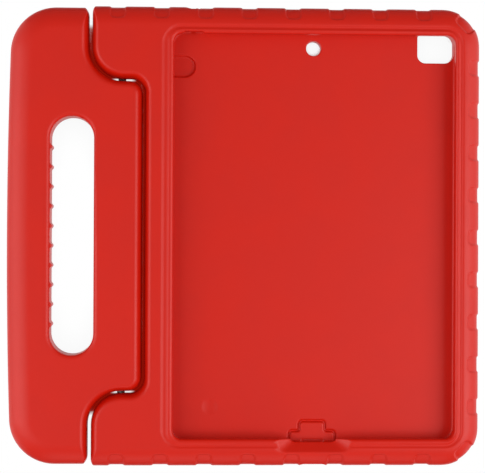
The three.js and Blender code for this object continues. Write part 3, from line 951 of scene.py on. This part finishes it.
bpy.ops.object.select_all(action="DESELECT")
bpy.ops.mesh.primitive_plane_add(size=FLOOR_SIZE, location=(0, 0, -FLOOR_DROP * MM))
floor = bpy.context.object
floor.name = "Studio_Floor"
floor_white = bpy.data.materials.new("Studio_Floor_White")
floor_white.use_nodes = True
floor_nodes, floor_links = floor_white.node_tree.nodes, floor_white.node_tree.links
floor_nodes.remove(floor_nodes["Principled BSDF"])
floor_place = floor_nodes.new("ShaderNodeTexCoord")
floor_axes = floor_nodes.new("ShaderNodeSeparateXYZ")
floor_links.new(floor_place.outputs["Object"], floor_axes.inputs["Vector"])
nearness = floor_nodes.new("ShaderNodeAmbientOcclusion")
nearness.samples = NEARNESS_SAMPLES
nearness.inputs["Distance"].default_value = FLOOR_NEARNESS * MM


def ramp(value, start, end, low=0):
    """On the floor, rises from low to one while the value goes from start to end."""
    rise = floor_nodes.new("ShaderNodeMapRange")
    rise.inputs["From Min"].default_value = start
    rise.inputs["From Max"].default_value = end
    rise.inputs["To Min"].default_value = low
    floor_links.new(value, rise.inputs["Value"])
    return rise.outputs["Result"]


def combine(tree, operation, first, *others):
    """Joins values of a node tree one after the other with one operation, such as MAXIMUM."""
    for other in others:
        joined = tree.nodes.new("ShaderNodeMath")
        joined.operation = operation
        tree.links.new(first, joined.inputs[0])
        tree.links.new(other, joined.inputs[1])
        first = joined.outputs["Value"]
    return first


def floor_band(value, low, high, blend):
    """One where the value lies between two limits, in millimetres, and nothing outside them."""
    return combine(
        floor_white.node_tree,
        "MULTIPLY",
        ramp(value, low * MM, (low + blend) * MM),
        ramp(value, high * MM, (high - blend) * MM),
    )


# Where the painted gap shade is left off: bands at the foot, at the head and beside the rod, where the
# floor shows white through the gap.
from_middle = floor_nodes.new("ShaderNodeMath")
from_middle.operation = "ABSOLUTE"
floor_links.new(floor_axes.outputs["Y"], from_middle.inputs[0])
by_rod = combine(
    floor_white.node_tree,
    "MULTIPLY",
    floor_band(floor_axes.outputs["X"], *GAP_BY_ROD, GAP_BLEND),
    floor_band(from_middle.outputs["Value"], *GAP_BESIDE_TONGUE, TONGUE_BLEND),
)
free_of_gap_shade = combine(
    floor_white.node_tree,
    "MAXIMUM",
    ramp(nearness.outputs["AO"], SHUT_IN, OPENED_OUT),
    floor_band(floor_axes.outputs["Y"], *GAP_AT_FOOT, GAP_BLEND),
    floor_band(floor_axes.outputs["Y"], *GAP_AT_HEAD, GAP_BLEND),
    by_rod,
)
# Painted shade on the seen floor: dark red where nearness or place marks a shut-in gap, elsewhere a faint
# painted shade by nearness to the case.
painted_floor_shade = floor_nodes.new("ShaderNodeMix")
painted_floor_shade.data_type = "RGBA"
painted_floor_shade.inputs[6].default_value = (*PAINTED_GAP_SHADE, 1)
floor_links.new(free_of_gap_shade, painted_floor_shade.inputs[0])
contact_shade = ramp(nearness.outputs["AO"], SHADE_STARTS, SHADE_ENDS, SHADE_BY_CASE)
floor_links.new(contact_shade, painted_floor_shade.inputs[7])
seen_floor = floor_nodes.new("ShaderNodeBsdfTransparent")
floor_links.new(painted_floor_shade.outputs[2], seen_floor.inputs["Color"])
plain_white = floor_nodes.new("ShaderNodeBsdfDiffuse")
plain_white.inputs["Color"].default_value = (FLOOR_WHITE, FLOOR_WHITE, FLOOR_WHITE, 1)
clear = floor_nodes.new("ShaderNodeBsdfTransparent")


def seen_rays(tree):
    """One for the rays that see a surface straight, in a reflection or through glass."""
    rays = tree.nodes.new("ShaderNodeLightPath").outputs
    return combine(
        tree,
        "MAXIMUM",
        rays["Is Camera Ray"],
        rays["Is Glossy Ray"],
        rays["Is Transmission Ray"],
    )


top_side = floor_nodes.new("ShaderNodeMixShader")
floor_links.new(seen_rays(floor_white.node_tree), top_side.inputs["Fac"])
floor_links.new(plain_white.outputs["BSDF"], top_side.inputs[1])
floor_links.new(seen_floor.outputs["BSDF"], top_side.inputs[2])
floor_ray = floor_nodes.new("ShaderNodeLightPath")
from_the_back = floor_nodes.new("ShaderNodeMath")
from_the_back.operation = "LESS_THAN"
from_the_back.inputs[1].default_value = CONTACT_REACH * MM
floor_links.new(floor_ray.outputs["Ray Length"], from_the_back.inputs[0])
floor_side = floor_nodes.new("ShaderNodeNewGeometry")
unseen = combine(
    floor_white.node_tree,
    "MAXIMUM",
    floor_side.outputs["Backfacing"],
    from_the_back.outputs["Value"],
)
both_sides = floor_nodes.new("ShaderNodeMixShader")
floor_links.new(unseen, both_sides.inputs["Fac"])
floor_links.new(top_side.outputs["Shader"], both_sides.inputs[1])
floor_links.new(clear.outputs["BSDF"], both_sides.inputs[2])
floor_links.new(both_sides.outputs["Shader"], floor_nodes["Material Output"].inputs["Surface"])
floor.data.materials.append(floor_white)

# Light: softboxes that stand round the table and face the case, high and low on its two sides
# and low at its foot, in white surroundings that give an even fill.
SOFTBOX_SIZE = 0.8
SOFTBOX_DISTANCE = 1.3
SOFTBOXES = (
    ("Right_High_Softbox", 345, 50, 3.6),
    ("Right_Low_Softbox", 0, 20, 0.9),
    ("Left_High_Softbox", 195, 50, 2.06),
    ("Left_Low_Softbox", 180, 20, 1.7),
    ("Foot_Softbox", 270, 20, 0.8),
)
FILL = 0.38

for softbox_name, azimuth, elevation, brightness in SOFTBOXES:
    level_reach = math.cos(math.radians(elevation)) * SOFTBOX_DISTANCE
    softbox_place = Vector((
        math.cos(math.radians(azimuth)) * level_reach,
        math.sin(math.radians(azimuth)) * level_reach,
        math.sin(math.radians(elevation)) * SOFTBOX_DISTANCE,
    ))
    bpy.ops.object.select_all(action="DESELECT")
    bpy.ops.object.light_add(
        type="AREA",
        location=softbox_place,
        rotation=(-softbox_place).to_track_quat("-Z", "Y").to_euler(),
    )
    softbox = bpy.context.object
    softbox.name = softbox_name
    softbox.data.shape = "SQUARE"
    softbox.data.size = SOFTBOX_SIZE
    softbox.data.energy = brightness * math.pi * SOFTBOX_SIZE**2
    softbox.visible_camera = False

surroundings = bpy.data.worlds.new("White_Surroundings")
bpy.context.scene.world = surroundings
surroundings.use_nodes = True
world_nodes, world_links = surroundings.node_tree.nodes, surroundings.node_tree.links
fill = world_nodes["Background"]
fill.inputs["Color"].default_value = (1, 1, 1, 1)
fill.inputs["Strength"].default_value = FILL
white = world_nodes.new("ShaderNodeBackground")
white.inputs["Color"].default_value = (1, 1, 1, 1)
white.inputs["Strength"].default_value = 1
world_mix = world_nodes.new("ShaderNodeMixShader")
world_links.new(seen_rays(surroundings.node_tree), world_mix.inputs["Fac"])
world_links.new(fill.outputs["Background"], world_mix.inputs[1])
world_links.new(white.outputs["Background"], world_mix.inputs[2])
world_links.new(world_mix.outputs["Shader"], world_nodes["World Output"].inputs["Surface"])
bpy.context.scene.view_settings.view_transform = "Standard"

# Flags: black cloths at the head and foot of the table and over it, as a studio hangs them,
# which keep the white room from shining in the foam except on its left and right edges.
FLAG_DISTANCE = 2.2
BLACK_CLOTH = (0.002, 0.002, 0.002)

bpy.ops.object.select_all(action="DESELECT")
bpy.ops.mesh.primitive_cube_add(size=2 * FLAG_DISTANCE, location=(0, 0, 0))
flags = bpy.context.object
flags.name = "Black_Flags"
pick_faces(flags, lambda place, normal: abs(normal.x) > SQUARE_ON or normal.z < -SQUARE_ON)
bpy.ops.mesh.delete(type="FACE")
bpy.ops.object.mode_set(mode="OBJECT")
flag_black = bpy.data.materials.new("Flag_Black")
flag_black.use_nodes = True
flag_surface = flag_black.node_tree.nodes["Principled BSDF"]
flag_surface.inputs["Base Color"].default_value = (*BLACK_CLOTH, 1)
flag_surface.inputs["Specular IOR Level"].default_value = 0
flags.data.materials.append(flag_black)
flags.visible_camera = False
flags.visible_diffuse = False
flags.visible_transmission = False
flags.visible_shadow = False

# Camera: a metre over the middle of the case and turned a little to its side, with a long lens.
# Its place and turn were fitted to the outline in the photograph.
CAMERA_AIM = (-0.88, 0, 22)
CAMERA_TURN = (-0.117, 2.509, -0.268)
CAMERA_PLACE = (0.481, 0.049, -1000.4)
CAMERA_LENS = 122.34
CAMERA_SENSOR = 36

turn = Euler([math.radians(angle) for angle in CAMERA_TURN], "XYZ").to_matrix().to_4x4()
back_off = Matrix.Translation(Vector(CAMERA_PLACE) * MM)
bpy.ops.object.select_all(action="DESELECT")
bpy.ops.object.camera_add()
camera = bpy.context.object
camera.name = "Photo_Camera"
camera.matrix_world = Matrix.Translation(Vector(CAMERA_AIM) * MM) @ (back_off @ turn).inverted()
camera.data.lens = CAMERA_LENS
camera.data.sensor_width = CAMERA_SENSOR
camera.data.clip_start = 0.01
camera.data.clip_end = 100
bpy.context.scene.camera = camera
